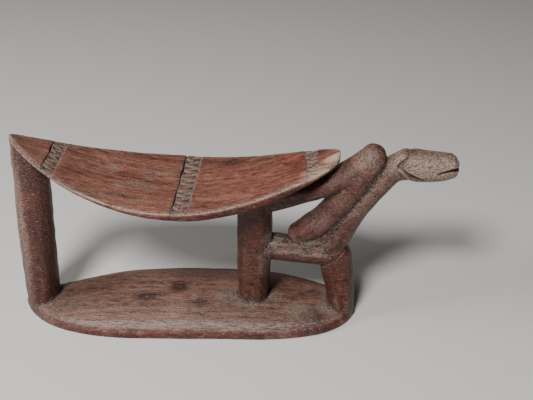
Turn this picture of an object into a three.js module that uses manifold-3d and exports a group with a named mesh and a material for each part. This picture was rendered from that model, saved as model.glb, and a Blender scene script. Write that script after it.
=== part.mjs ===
// A headrest carved from one block of dark hardwood.
// A long curved pillow stands on a post at its left end and on a leg towards its right end, over a low oval
// base. Past the leg the block is carved as an animal: a thigh rises from under the pillow to a knee, the
// shin comes down again to a bar, and a neck grows out of the bar, along the shin, to a head with a slit
// mouth. Three bands of chip carving cross the pillow.
// Millimetres, +Z up, X along the headrest, Y across it. The origin is under the middle of the base.
import * as THREE from "three";
import { mergeVertices } from "three/addons/utils/BufferGeometryUtils.js";
import Module from "manifold-3d";

const wasm = await Module();
wasm.setup();

// The base: a flat-bottomed oval board with a low crown.
const base = {
  halfLength: 154.3,
  halfWidth: 49.7,
  leftFullness: 3.9, // how long the sides stay parallel
  rightFullness: 3.7,
  leftBlunt: 0.72, // how blunt the two ends are
  rightBlunt: 0.5,
  thickness: 13.6, // at the edge, at mid-length
  thinEnds: 6, // how much thinner the edge is at the ends
  crown: 5, // how far the middle stands above the edge
  sunk: 0.7, // cut off flat below
  shoulders: { top: [7, 1], bottom: [12, 1 / 12] },
  leftWander: { amount: 4.9, at: -112, reach: 48 }, // how far the back edge comes in towards both ends
  rightWander: { amount: 2.9, at: 128, reach: 34 },
  swing: { amount: 1.4, at: 25, reach: 45 }, // how far both sides swing back at mid-length
};

// The pillow: a leaf-shaped board, nearly flat across, that turns up at both ends.
const pillow = {
  leftTip: -145.3,
  rightTip: 133.8,
  widest: -12.5,
  halfWidth: 52.7,
  middle: -0.8, // the front side stands out a little further than the back
  leftFullness: 1.8,
  rightFullness: 1.5,
  leftBlunt: 0.74,
  rightBlunt: 0.56,
  lowest: 6.5,
  rimHeight: 134.8, // of the upper edge, where the curve is lowest
  leftRise: 43.8,
  rightRise: 33,
  leftCurve: 2.3,
  rightCurve: 1.9,
  dish: 1.2, // hollow across the width
  tipLift: { over: 24, by: 1.4 }, // how the left end turns up more
  tipRounding: { over: 3.6, by: 1.8 }, // how the upper face falls at the left tip
  edges: [4.4, 7.2, 12.5, 9.6], // thickness of the edge, from the left tip to the right one
  belly: 6, // how far the middle of the underside hangs below the edge
  shoulders: { top: [16, 1 / 16], bottom: [2.4, 1 / 2.4] },
};

// Slanting cuts along the front of the pillow's two ends: where each begins, how wide it gets, and how far
// it takes the edge down at the tip.
const bevels = [
  { from: -60, tip: pillow.leftTip, reach: 6.5, drop: 3.6 },
  { from: 85, tip: pillow.rightTip, reach: 16, drop: 7.6 },
];
const bevelFull = 0.35; // the share of a cut's length in which it reaches its width
const bevelCurve = 1.3; // how it falls towards the tip
const edgeLeft = 1.6; // the least thickness that a cut leaves at the edge

// Limbs are swept through stations [x, z, half thickness, half depth along Y]. The ends are domes, as long
// as the half thickness times the two cap values.
const leftPost = {
  // The fifth number narrows the outer side to a keel, so that the post keeps under the pillow's tip.
  stations: [
    [-138.3, 4, 15, 17.5, 0],
    [-137.5, 30, 15.5, 16.5, 0],
    [-136.1, 65, 16.2, 14.5, 0.1],
    [-134.4, 100, 16.3, 14, 0.25],
    [-132.2, 135, 15.8, 13.5, 0.5],
    [-130.8, 170, 14.2, 12.5, 0.72],
  ],
  roundness: 2.1,
  caps: [0.8, 0.5],
};
const leg = {
  stations: [
    [59, 8, 12.8, 17.5],
    [59.8, 26, 14.3, 16.5],
    [60.7, 60, 15.8, 15.5],
    [61.1, 100, 15.9, 15],
    [61.1, 136, 15.9, 15],
  ],
  roundness: 2.3,
  caps: [0.8, 0.5],
};
const foreleg = {
  stations: [
    [142.2, 4, 12.4, 20],
    [141.2, 12, 12.5, 19.5],
    [139.5, 28, 13.5, 17],
    [136.1, 48, 15, 14.5],
    [134.8, 63, 14.2, 13],
  ],
  roundness: 2.3,
  caps: [0.8, 0.7],
};
const bar = {
  stations: [
    [60, 71, 12.2, 13.5],
    [80, 69.8, 11.6, 12.5],
    [106, 67, 11.4, 12.5],
    [135, 65, 12.5, 13],
  ],
  roundness: 2.5,
  caps: [0.8, 0.8],
};
const thigh = {
  stations: [
    [54, 118, 10.5, 12],
    [78, 120.2, 10.9, 12.3],
    [100, 126.4, 9.9, 12.4],
    [120.7, 134.2, 9.2, 12.7],
    [141.3, 146.2, 10.3, 13.4],
    [160.8, 159.9, 11.6, 13.6],
  ],
  roundness: 2.2,
  caps: [0.8, 1],
};
const shin = {
  stations: [
    [161.4, 161.2, 11.8, 13.6],
    [154, 148.6, 12.2, 13.8],
    [139.6, 124.6, 11.6, 13.8],
    [122.4, 101.6, 11.3, 13.9],
    [110, 91, 11.4, 13.4],
    [98.2, 84.4, 8.6, 10.8],
  ],
  roundness: 2.2,
  caps: [1, 0.85],
};
const neck = {
  stations: [
    [123.8, 66.1, 11.3, 12.5],
    [134.5, 82, 12, 12.4],
    [149.6, 109, 9.8, 11.6],
    [166.3, 133, 9.1, 11],
    [178, 149.6, 11.7, 10.4],
    [190.5, 155.9, 15, 9.6],
  ],
  roundness: 2.2,
  caps: [0.8, 0.8],
};
const head = {
  stations: [
    [182.5, 158, 2.2, 12.6],
    [188, 156.8, 9.8, 13.8],
    [196.5, 155.3, 13.2, 14.2],
    [208, 154.3, 12.6, 13.8],
    [219, 154.4, 11.3, 12.6],
    [227.4, 155.1, 9.8, 11],
  ],
  roundness: 2.7,
  caps: [0.3, 0.68],
};

// Where two limbs lie side by side, a web closes the gap between them and leaves a groove.
const shinWeb = {
  stations: [
    [103, 79.4, 5, 9.5],
    [114, 80.5, 7, 10.5],
    [124, 85.5, 8, 10.5],
    [134, 97, 7, 10],
    [151, 125, 6, 9],
    [166, 149, 5, 8.5],
  ],
  roundness: 2.2,
  caps: [0.8, 0.8],
};
const thighWeb = {
  stations: [
    [122.6, 125.1, 3, 5],
    [131, 130.4, 4.8, 9],
    [142, 138.4, 6, 10],
  ],
  roundness: 2.2,
  caps: [0.8, 0.8],
};

// The left tip is thick underneath, and runs down into the post.
const leftTip = {
  stations: [
    [-143.8, 136, 2.4, 3],
    [-142.7, 150, 4, 5],
    [-141.3, 163, 4.1, 5.4],
    [-141, 172, 3.8, 5.2],
  ],
  roundness: 2.1,
  caps: [0.8, 0.9],
};

// Incised bands cross the pillow. Each lies between two cut lines, and a zigzag is left standing in it by
// triangles that are chipped out from both sides in turn.
const bands = [
  { from: -114.2, to: -104.3, reach: 25.5, pitch: 9.1 },
  { from: -4.2, to: 10, reach: 50, pitch: 10.4 },
  { from: 105.2, to: 114.8, reach: 18, pitch: 7.5 },
];
const cut = {
  lineWidth: 2,
  lineDepth: 1.5,
  chipReach: [0.6, 0.66], // of the band's width, from its left line and from its right one
  chipDepth: 1.5,
  chipShare: 0.84, // of the pitch
};

// The slit between the lips.
const mouth = {
  corner: [213.6, 153],
  front: [240, 156],
  height: 3.6,
};

const detail = {
  limbSides: 16,
  limbSteps: 9,
  boardSides: 32,
  boardSteps: 28,
  capSteps: 3,
};

const wood = new THREE.MeshStandardMaterial({
  color: new THREE.Color().setRGB(0.32, 0.2, 0.155, THREE.SRGBColorSpace),
  roughness: 0.6,
  metalness: 0,
});

const sumOf = (points) => points.reduce((sum, p) => sum.add(p), new THREE.Vector3());
const middleOf = (ring) => sumOf(ring).divideScalar(ring.length);

// Rings of points, each with the same number of points, joined into one closed skin. Its two ends are
// closed by fans round their middles.
function skin(rings) {
  const around = rings[0].length;
  const end = (rings.length - 1) * around;
  const [first, last] = [end + around, end + around + 1];
  const index = [];
  for (let i = 0; i + 1 < rings.length; i++) {
    for (let j = 0; j < around; j++) {
      const a = i * around + j;
      const b = i * around + ((j + 1) % around);
      index.push(a, b, a + around, b, b + around, a + around);
    }
  }
  for (let j = 0; j < around; j++) {
    const next = (j + 1) % around;
    index.push(first, next, j, last, end + j, end + next);
  }
  const points = [...rings.flat(), middleOf(rings[0]), middleOf(rings.at(-1))];
  const geometry = new THREE.BufferGeometry().setFromPoints(points);
  geometry.setIndex(index);
  return geometry;
}

// A closed geometry as a solid that can be joined and cut.
function solid(geometry) {
  const bare = geometry.clone();
  bare.deleteAttribute("normal");
  bare.deleteAttribute("uv");
  const merged = mergeVertices(bare, 1e-4);
  return new wasm.Manifold(
    new wasm.Mesh({
      numProp: 3,
      vertProperties: new Float32Array(merged.attributes.position.array),
      triVerts: new Uint32Array(merged.index.array),
    }),
  );
}

function geometryOf(manifold) {
  const { vertProperties, triVerts } = manifold.getMesh();
  const geometry = new THREE.BufferGeometry();
  geometry.setAttribute("position", new THREE.BufferAttribute(vertProperties, 3));
  geometry.setIndex(new THREE.BufferAttribute(triVerts, 1));
  geometry.computeVertexNormals();
  return geometry;
}

const join = (pieces) => pieces.reduce((whole, piece) => whole.add(piece));
const power = (v, p) => Math.sign(v) * Math.abs(v) ** p;

// A smooth curve (uniform Catmull-Rom) through rows of numbers, at t from 0 to 1.
function through(rows, t) {
  const last = rows.length - 1;
  const i = Math.min(Math.floor(t * last), last - 1);
  const f = t * last - i;
  return rows[0].map((_, c) => {
    const b = rows[i][c];
    const d = rows[i + 1][c];
    const a = i > 0 ? rows[i - 1][c] : 2 * b - d;
    const e = i + 2 <= last ? rows[i + 2][c] : 2 * d - b;
    return b + 0.5 * f * (d - a + f * (2 * a - 5 * b + 4 * d - e + f * (3 * (b - d) + e - a)));
  });
}

// A limb: rounded rings across a curve in the plane y = 0, with domed ends.
function limb({ stations, roundness, caps }) {
  const at = (t) => {
    const [x, z, half, deep, keel = 0] = through(stations, t);
    const step = 1e-3;
    const before = through(stations, Math.max(t - step, 0));
    const after = through(stations, Math.min(t + step, 1));
    const along = new THREE.Vector2(after[0] - before[0], after[1] - before[1]).normalize();
    return { x, z, half, deep, keel, along };
  };
  const ring = ({ x, z, half, deep, keel, along }, scale, shift) =>
    Array.from({ length: detail.limbSides }, (_, j) => {
      const angle = (2 * Math.PI * (j + 0.5)) / detail.limbSides;
      const side = power(Math.cos(angle), 2 / roundness);
      const out = half * scale * side;
      const narrowing = 1 - (keel * (1 - side)) / 2;
      const y = deep * scale * narrowing * power(Math.sin(angle), 2 / roundness);
      const px = x + along.x * shift + along.y * out;
      const pz = z + along.y * shift - along.x * out;
      return new THREE.Vector3(px, y, pz);
    });
  const dome = (place, length) =>
    Array.from({ length: detail.capSteps }, (_, k) => {
      const angle = (Math.PI / 2) * ((k + 1) / (detail.capSteps + 0.35));
      return ring(place, Math.cos(angle), length * place.half * Math.sin(angle));
    });
  const body = Array.from({ length: detail.limbSteps + 1 }, (_, i) =>
    ring(at(i / detail.limbSteps), 1, 0),
  );
  return skin([...dome(at(0), -caps[0]).reverse(), ...body, ...dome(at(1), caps[1])]);
}

// How high a board's face stands at v, from -1 to 1 across it: 1 in the middle, 0 at the sides.
const shoulder = (v, [p, q]) => (1 - Math.abs(v) ** p) ** q;

// A board: rounded rings across X. section(x) gives its half width, its middle line, its upper and lower
// faces as functions of v, and, where there is one, the height above which it is cut off, as a function
// of y.
function board(from, to, shoulders, section) {
  const rings = Array.from({ length: detail.boardSteps + 1 }, (_, i) => {
    const share = (1 - Math.cos((Math.PI * (i + 0.35)) / (detail.boardSteps + 0.7))) / 2;
    const x = from + (to - from) * share;
    const { half, middle, top, bottom, limit } = section(x);
    return Array.from({ length: detail.boardSides }, (_, j) => {
      const angle = (2 * Math.PI * (j + 0.5)) / detail.boardSides;
      const v = Math.cos(angle);
      const upper = Math.sin(angle) > 0;
      const rise = upper ? shoulder(v, shoulders.top) : -shoulder(v, shoulders.bottom);
      const y = middle + half * v;
      const z = (top(v) + bottom(v) + rise * (top(v) - bottom(v))) / 2;
      const most = limit ? limit(y) - (upper ? 0 : edgeLeft) : Infinity;
      return new THREE.Vector3(x, y, Math.min(z, most));
    });
  });
  return skin(rings);
}

const bell = ({ amount, at, reach }, x) => amount * Math.exp(-(((x - at) / reach) ** 2));

function baseSection(x) {
  const u = Math.abs(x) / base.halfLength;
  const bump = bell(x < 0 ? base.leftWander : base.rightWander, x);
  const swing = bell(base.swing, x);
  const fullness = x < 0 ? base.leftFullness : base.rightFullness;
  const share = (1 - u ** fullness) ** (x < 0 ? base.leftBlunt : base.rightBlunt);
  const edge = base.thickness - base.thinEnds * u * u;
  const crown = base.crown * (1 - u ** 4);
  return {
    half: base.halfWidth * share - bump,
    middle: swing - bump,
    top: (v) => edge + crown * (1 - v * v),
    bottom: () => -base.sunk,
  };
}

// The height of the pillow's upper edge.
function rim(x) {
  const left = x < pillow.lowest;
  const u = (x - pillow.lowest) / ((left ? pillow.leftTip : pillow.rightTip) - pillow.lowest);
  const rise = left ? pillow.leftRise : pillow.rightRise;
  const near = ({ over }) => THREE.MathUtils.clamp((pillow.leftTip + over - x) / over, 0, 1);
  const lift = pillow.tipLift.by * near(pillow.tipLift) ** 2;
  const fall = pillow.tipRounding.by * (1 - Math.sqrt(1 - near(pillow.tipRounding) ** 2));
  return pillow.rimHeight + rise * u ** (left ? pillow.leftCurve : pillow.rightCurve) + lift - fall;
}

// How far the slanting cuts go below the pillow's rim: evenly more from their inner side to the front edge.
function bevelCut(x, y, half) {
  return bevels.reduce((fall, { from, tip, reach, drop }) => {
    const s = THREE.MathUtils.clamp((x - from) / (tip - from), 0, 1);
    const width = Math.max(Math.min(reach * Math.min(s / bevelFull, 1), half), 0.01);
    const share = THREE.MathUtils.clamp((pillow.middle - y - half) / width + 1, 0, 1);
    return fall + drop * s ** bevelCurve * share;
  }, 0);
}

function pillowSection(x) {
  const left = x < pillow.widest;
  const u = (x - pillow.widest) / ((left ? pillow.leftTip : pillow.rightTip) - pillow.widest);
  const fullness = left ? pillow.leftFullness : pillow.rightFullness;
  const share = (1 - u ** fullness) ** (left ? pillow.leftBlunt : pillow.rightBlunt);
  const along = (x - pillow.leftTip) / (pillow.rightTip - pillow.leftTip);
  const [edge] = through(pillow.edges.map((e) => [e]), along);
  return {
    half: pillow.halfWidth * share,
    middle: pillow.middle,
    top: (v) => rim(x) - pillow.dish * share * (1 - v * v),
    bottom: (v) => rim(x) - edge - pillow.belly * share * (1 - v * v),
    limit: (y) => rim(x) - bevelCut(x, y, pillow.halfWidth * share),
  };
}

// The height of the pillow's upper face.
function pillowTop(x, y) {
  const { half, top, bottom, limit } = pillowSection(x);
  const v = THREE.MathUtils.clamp((y - pillow.middle) / half, -1, 1);
  const rise = shoulder(v, pillow.shoulders.top);
  return Math.min((top(v) + bottom(v) + rise * (top(v) - bottom(v))) / 2, limit(y));
}

// A wedge along Y under the pillow's upper edge, with its point down.
function cutLine(x) {
  const above = 3;
  const reach = pillow.halfWidth + 5;
  const half = (cut.lineWidth / 2) * (1 + above / cut.lineDepth);
  const wedge = new THREE.Shape([
    new THREE.Vector2(0, -cut.lineDepth),
    new THREE.Vector2(half, above),
    new THREE.Vector2(-half, above),
  ]);
  const geometry = new THREE.ExtrudeGeometry(wedge, { depth: 2 * reach, bevelEnabled: false });
  geometry.rotateX(Math.PI / 2);
  geometry.translate(0, reach, 0);
  geometry.rotateY(-Math.atan((rim(x + 1) - rim(x - 1)) / 2));
  geometry.translate(x, 0, rim(x) - pillow.dish / 2);
  return geometry;
}

// A three-sided chip. Its long side lies along the cut line at x, and its point is dx away, at y.
function chip(x, dx, y, half) {
  const above = 1;
  const grow = 1 + above / cut.chipDepth;
  const centre = x + dx / 3;
  const corners = [
    [x, y - half],
    [x, y + half],
    [x + dx, y],
  ].map(([cx, cy]) => {
    const gx = centre + (cx - centre) * grow;
    const gy = y + (cy - y) * grow;
    return new THREE.Vector3(gx, gy, pillowTop(gx, gy) + above);
  });
  const deepest = new THREE.Vector3(centre, y, pillowTop(centre, y) - cut.chipDepth);
  const order = dx > 0 ? [0, 2, 1, 3] : [0, 1, 2, 3];
  const [a, b, c, d] = order.map((k) => [...corners, deepest][k]);
  const geometry = new THREE.BufferGeometry().setFromPoints([a, b, c, d]);
  geometry.setIndex([0, 1, 2, 0, 3, 1, 1, 3, 2, 2, 3, 0]);
  return geometry;
}

// The chips of one band, from its two lines in turn.
function chips({ from, to, reach, pitch }) {
  const count = Math.floor((2 * reach) / pitch);
  const half = (pitch * cut.chipShare) / 2;
  const [left, right] = cut.chipReach.map((share) => (to - from) * share);
  return Array.from({ length: count }, (_, k) => {
    const y = (k - (count - 1) / 2) * pitch;
    return [chip(from + 1, left, y - pitch / 4, half), chip(to - 1, -right, y + pitch / 4, half)];
  }).flat();
}

// A flat wedge that opens towards the lips.
function slit() {
  const reach = 20;
  const { corner, front, height } = mouth;
  const shape = new THREE.Shape([
    new THREE.Vector2(...corner),
    new THREE.Vector2(front[0], front[1] - height / 2),
    new THREE.Vector2(front[0], front[1] + height / 2),
  ]);
  const geometry = new THREE.ExtrudeGeometry(shape, { depth: 2 * reach, bevelEnabled: false });
  geometry.rotateX(Math.PI / 2);
  geometry.translate(0, reach, 0);
  return geometry;
}

// What lies above the pillow, from a little under its upper face.
function abovePillow() {
  const under = 3;
  const height = 60;
  const square = [8, 1 / 8];
  return board(pillow.leftTip - 20, pillow.rightTip, { top: square, bottom: square }, (x) => ({
    half: pillow.halfWidth,
    middle: 0,
    top: () => rim(x) + height,
    bottom: () => rim(x) - under,
  }));
}

// What lies below the floor.
function belowFloor() {
  const depth = 40;
  const size = 3 * base.halfLength;
  return new THREE.BoxGeometry(size, size, depth).translate(0, 0, -depth / 2);
}

function carve() {
  const boards = [
    board(-base.halfLength, base.halfLength, base.shoulders, baseSection),
    board(pillow.leftTip, pillow.rightTip, pillow.shoulders, pillowSection),
  ].map(solid);
  const posts = join([leftPost, leg].map(limb).map(solid)).subtract(solid(abovePillow()));
  const animal = [foreleg, bar, thigh, shin, neck, head, shinWeb, thighWeb].map(limb).map(solid);
  const lines = bands.flatMap(({ from, to }) => [cutLine(from), cutLine(to)]);
  const cuts = [...lines, ...bands.flatMap(chips), slit(), belowFloor()].map(solid);
  return join([...boards, posts, solid(limb(leftTip)), ...animal]).subtract(join(cuts));
}

const headrest = new THREE.Mesh(geometryOf(carve()), wood);
headrest.name = "headrest";

const model = new THREE.Group();
model.add(headrest);

export default model;
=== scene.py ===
# A headrest carved from one block of dark hardwood: a curved pillow on a post and a leg, an oval base, and
# at the right an animal's bent leg, neck and head. Sizes are in millimetres until the mesh is written.
import math

import bmesh
import bpy
import numpy as np
from mathutils import Matrix, Vector


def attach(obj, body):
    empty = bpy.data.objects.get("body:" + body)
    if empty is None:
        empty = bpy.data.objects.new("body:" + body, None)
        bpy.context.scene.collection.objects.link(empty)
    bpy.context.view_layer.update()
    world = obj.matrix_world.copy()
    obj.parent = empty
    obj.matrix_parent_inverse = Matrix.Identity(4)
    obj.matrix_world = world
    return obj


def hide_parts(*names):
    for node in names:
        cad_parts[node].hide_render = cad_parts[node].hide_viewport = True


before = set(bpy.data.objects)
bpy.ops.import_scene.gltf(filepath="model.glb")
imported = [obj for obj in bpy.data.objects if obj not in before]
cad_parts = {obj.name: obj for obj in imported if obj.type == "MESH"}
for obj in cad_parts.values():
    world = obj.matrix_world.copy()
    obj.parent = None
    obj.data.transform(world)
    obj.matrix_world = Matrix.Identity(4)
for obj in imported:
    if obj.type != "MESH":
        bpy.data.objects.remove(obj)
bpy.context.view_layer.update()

mm = 0.001
tau = 2 * math.pi

# The two boards: the oval base, and the curved pillow.
base = {
    "halfLength": 154.3, "halfWidth": 49.7,
    "fullness": (3.9, 3.7),                 # left and right: how long the sides stay parallel
    "blunt": (0.72, 0.5),                   # how blunt the two ends are
    "thickness": 13.6, "thinEnds": 6,       # of the edge at mid-length, and how much thinner its ends are
    "crown": 5, "sunk": 0.7,                # the middle's rise, and what is cut off flat below
    "top": (7, 1), "bottom": (12, 1 / 12),  # the powers of the two faces, as in shoulder
    "leftWander": (4.9, -112, 48),          # how far the back edge comes in, where, and over what reach
    "rightWander": (2.9, 128, 34),
    "swing": (1.4, 25, 45),                 # how far both sides swing back at mid-length
}

pillow = {
    "leftTip": -145.3, "rightTip": 133.8, "widest": -12.5, "halfWidth": 52.7, "middle": -0.8,
    "fullness": (1.8, 1.5), "blunt": (0.74, 0.56),
    "lowest": 6.5, "rimHeight": 134.8,        # where the upper edge is lowest, and how high
    "rise": (43.8, 33), "curve": (2.3, 1.9),  # how far it rises to the two tips, and with what power
    "pastTip": 1.3,                           # to what share of the way to a tip the curve is carried on
    "dish": 1.2, "belly": 6,                  # how far the upper face dips, and the lower one swells
    "tipLift": (24, 1.4),                     # over what length the left end turns up more, and how far
    "tipRounding": (3.6, 1.8),                # over what length the left tip is rounded, and how far it falls
    "edges": (4.4, 7.2, 12.5, 9.6),           # thickness of the edge from the left tip to the right one
    "top": (16, 1 / 16), "bottom": (2.4, 1 / 2.4),
    "postsEnd": 3,                            # how far under the upper face the posts stop
}

# Slanting cuts along the front of the pillow's two ends: where each begins, how wide it gets, and how far it
# takes the edge down at the tip.
bevels = [
    {"from": -60, "tip": -145.3, "reach": 6.5, "drop": 3.6},
    {"from": 85, "tip": 133.8, "reach": 16, "drop": 7.6},
]
bevelFull = 0.35     # the share of a cut's length in which it reaches its width
bevelCurve = 1.3     # how it falls towards the tip
edgeLeft = 1.6       # the least thickness that a cut leaves at the edge
leastWidth = 0.01    # of a cut, so that nothing is divided by 0


def smoothThrough(rows, t):
    # A smooth curve through rows of numbers (Catmull-Rom, equal steps), at every t from 0 to 1.
    rows = np.asarray(rows, float)
    last = len(rows) - 1
    i = np.minimum((t * last).astype(int), last - 1)
    f = (t * last - i)[:, None]
    b, d = rows[i], rows[i + 1]
    a = np.where((i > 0)[:, None], rows[np.maximum(i - 1, 0)], 2 * b - d)
    e = np.where((i + 2 <= last)[:, None], rows[np.minimum(i + 2, last)], 2 * d - b)
    return b + 0.5 * f * (d - a + f * (2 * a - 5 * b + 4 * d - e + f * (3 * (b - d) + e - a)))


def power(v, p):
    # |v|^p with the sign of v.
    return np.sign(v) * np.abs(v) ** p


def shoulder(v, powers):
    # How high a board's face stands at v, from -1 to 1 across it: (1 - |v|^p)^q.
    p, q = powers
    return np.clip(1 - np.abs(v) ** p, 0, 1) ** q


def bySide(pair, left):
    # The first of a pair on the left, the second on the right.
    return np.where(left, pair[0], pair[1])


def bell(spec, x):
    # A bump along x: amount * exp(-((x - at) / reach)^2).
    amount, at, reach = spec
    return amount * np.exp(-((x - at) / reach) ** 2)


def baseSection(x):
    # The base across x: half width, middle line, and the heights of its two faces as functions of v, from -1
    # to 1 across. With u the way to an end, the width goes with (1 - u^fullness)^blunt and the crown with
    # (1 - u^4)(1 - v^2).
    u = np.clip(np.abs(x) / base["halfLength"], 0, 1)
    left = x < 0
    bump = np.where(left, bell(base["leftWander"], x), bell(base["rightWander"], x))
    swing = bell(base["swing"], x)
    share = (1 - u ** bySide(base["fullness"], left)) ** bySide(base["blunt"], left)
    side = base["thickness"] - base["thinEnds"] * u * u
    crown = base["crown"] * (1 - u ** 4)
    return (base["halfWidth"] * share - bump, swing - bump,
            lambda v: side + crown * (1 - v * v), lambda v: -base["sunk"] + 0 * v)


def rim(x):
    # The height of the pillow's upper edge: a power curve that rises to each tip. The left end turns up more
    # by a square curve, and falls as a quarter circle at its very tip.
    left = x < pillow["lowest"]
    tip = np.where(left, pillow["leftTip"], pillow["rightTip"])
    u = np.clip((x - pillow["lowest"]) / (tip - pillow["lowest"]), 0, pillow["pastTip"])
    risen, fallen = (np.clip((pillow["leftTip"] + pillow[name][0] - x) / pillow[name][0], 0, 1)
                     for name in ("tipLift", "tipRounding"))
    change = pillow["tipLift"][1] * risen ** 2 - pillow["tipRounding"][1] * (1 - np.sqrt(1 - fallen ** 2))
    return pillow["rimHeight"] + bySide(pillow["rise"], left) * u ** bySide(pillow["curve"], left) + change


def pillowSection(x):
    # The pillow across x, as baseSection. Its outline is (1 - u^fullness)^blunt from the widest place.
    left = x < pillow["widest"]
    tip = np.where(left, pillow["leftTip"], pillow["rightTip"])
    u = np.clip((x - pillow["widest"]) / (tip - pillow["widest"]), 0, 1)
    share = (1 - u ** bySide(pillow["fullness"], left)) ** bySide(pillow["blunt"], left)
    along = np.clip((x - pillow["leftTip"]) / (pillow["rightTip"] - pillow["leftTip"]), 0, 1)
    side = smoothThrough([(e,) for e in pillow["edges"]], along.ravel()).reshape(along.shape)
    top = rim(x)
    return (pillow["halfWidth"] * share, pillow["middle"] + 0 * share,
            lambda v: top - pillow["dish"] * share * (1 - v * v),
            lambda v: top - side - pillow["belly"] * share * (1 - v * v))


def bevelCut(x, y):
    # How far the slanting cuts go below the rim: evenly more from their inner side to the front edge.
    half, middle, _, _ = pillowSection(x)
    fall = 0
    for cut in bevels:
        s = np.clip((x - cut["from"]) / (cut["tip"] - cut["from"]), 0, 1)
        reach = cut["reach"] * np.minimum(s / bevelFull, 1)
        reach = np.clip(reach, leastWidth, np.maximum(half, leastWidth))
        fall = fall + cut["drop"] * s ** bevelCurve * np.clip((middle - y - half) / reach + 1, 0, 1)
    return fall


# Steps along and round the shapes, and how far from its ends a board's first and last rings lie.
grid = {"limbSteps": 110, "limbSides": 72, "capSteps": 12, "boardSteps": 260, "boardSides": 200,
        "boardEnds": 0.004}


def boardSurface(spec, start, end, section):
    # Two parameters: s runs along the board, closer together at its ends, and a runs round it. v = cos a goes
    # across, and the faces come together at the edge as shoulder(v).
    s = np.linspace(grid["boardEnds"], 1 - grid["boardEnds"], grid["boardSteps"])[:, None]
    a = (np.arange(grid["boardSides"])[None, :] + 0.5) * tau / grid["boardSides"]
    x = start + (end - start) * (1 - np.cos(math.pi * s)) / 2
    half, middle, top, bottom = section(x)
    v = np.cos(a)
    rise = np.where(np.sin(a) > 0, shoulder(v, spec["top"]), -shoulder(v, spec["bottom"]))
    y = middle + half * v
    z = (top(v) + bottom(v) + rise * (top(v) - bottom(v))) / 2
    if spec is pillow:
        z = np.minimum(z, rim(x) - bevelCut(x + 0 * v, y) - np.where(np.sin(a) > 0, 0, edgeLeft))
    return np.stack([x + 0 * v, y, z], -1)


# Each limb: stations of x, z, half thickness and half depth, the profile's roundness, how long the two domed
# ends are, and its flats: how many, turned by how many degrees, and where each cuts, as a share. A keel
# narrows the profile towards the limb's left side, at each station by a share.
limbs = {
    "leftPost": {
        "stations": [(-138.3, 4, 15, 17.5), (-137.5, 30, 15.5, 16.5), (-136.1, 65, 16.2, 14.5),
                     (-134.4, 100, 16.3, 14), (-132.2, 135, 15.8, 13.5), (-130.8, 170, 14.2, 12.5)],
        "keel": (0, 0, 0.1, 0.25, 0.5, 0.72),
        "roundness": 2.1, "caps": (0.8, 0.5), "flats": (8, 3, 0.98)},
    "leg": {
        "stations": [(59, 8, 12.8, 17.5), (59.8, 26, 14.3, 16.5), (60.7, 60, 15.8, 15.5),
                     (61.1, 100, 15.9, 15), (61.1, 136, 15.9, 15)],
        "roundness": 2.3, "caps": (0.8, 0.5), "flats": (8, -3, 0.965)},
    "foreleg": {
        "stations": [(142.2, 4, 12.4, 20), (141.2, 12, 12.5, 19.5), (139.5, 28, 13.5, 17),
                     (136.1, 48, 15, 14.5), (134.8, 63, 14.2, 13)],
        "roundness": 2.3, "caps": (0.8, 0.7), "flats": (8, 4, 0.968)},
    "bar": {
        "stations": [(60, 71, 12.2, 13.5), (80, 69.8, 11.6, 12.5), (106, 67, 11.4, 12.5),
                     (135, 65, 12.5, 13)],
        "roundness": 2.5, "caps": (0.8, 0.8), "flats": (8, 22, 0.96)},
    "thigh": {
        "stations": [(54, 118, 10.5, 12), (78, 120.2, 10.9, 12.3), (100, 126.4, 9.9, 12.4),
                     (120.7, 134.2, 9.2, 12.7), (141.3, 146.2, 10.3, 13.4), (160.8, 159.9, 11.6, 13.6)],
        "roundness": 2.2, "caps": (0.8, 1), "flats": (7, 12, 0.978)},
    "shin": {
        "stations": [(161.4, 161.2, 11.8, 13.6), (154, 148.6, 12.2, 13.8), (139.6, 124.6, 11.6, 13.8),
                     (122.4, 101.6, 11.3, 13.9), (110, 91, 11.4, 13.4), (98.2, 84.4, 8.6, 10.8)],
        "roundness": 2.2, "caps": (1, 0.85), "flats": (7, 20, 0.988)},
    "neck": {
        "stations": [(123.8, 66.1, 11.3, 12.5), (134.5, 82, 12, 12.4), (149.6, 109, 9.8, 11.6),
                     (166.3, 133, 9.1, 11), (178, 149.6, 11.7, 10.4), (190.5, 155.9, 15, 9.6)],
        "roundness": 2.2, "caps": (0.8, 0.8), "flats": (8, 10, 0.975)},
    "head": {
        "stations": [(182.5, 158, 2.2, 12.6), (188, 156.8, 9.8, 13.8), (196.5, 155.3, 13.2, 14.2),
                     (208, 154.3, 12.6, 13.8), (219, 154.4, 11.3, 12.6), (227.4, 155.1, 9.8, 11)],
        "roundness": 2.7, "caps": (0.3, 0.68), "flats": (8, 22, 0.985)},
    "shinWeb": {
        "stations": [(103, 79.4, 5, 9.5), (114, 80.5, 7, 10.5), (124, 85.5, 8, 10.5), (134, 97, 7, 10),
                     (151, 125, 6, 9), (166, 149, 5, 8.5)],
        "roundness": 2.2, "caps": (0.8, 0.8), "flats": (8, 0, 0.96)},
    "thighWeb": {
        "stations": [(122.6, 125.1, 3, 5), (131, 130.4, 4.8, 9), (142, 138.4, 6, 10)],
        "roundness": 2.2, "caps": (0.8, 0.8), "flats": (8, 0, 0.96)},
    "leftTip": {
        "stations": [(-143.8, 136, 2.4, 3), (-142.7, 150, 4, 5), (-141.3, 163, 4.1, 5.4),
                     (-141, 172, 3.8, 5.2)],
        "roundness": 2.1, "caps": (0.8, 0.9), "flats": (8, 0, 0.985)},
}

# How the flats' edges wander along a limb: by what share of the profile, over what length, stretched from
# one flat to the next between two factors. meanSize is twice the mean size of a limb's profile.
flatWander = {"share": 0.01, "length": 60, "stretch": (0.7, 1.4), "seed": 7, "meanSize": 1.952}


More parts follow.
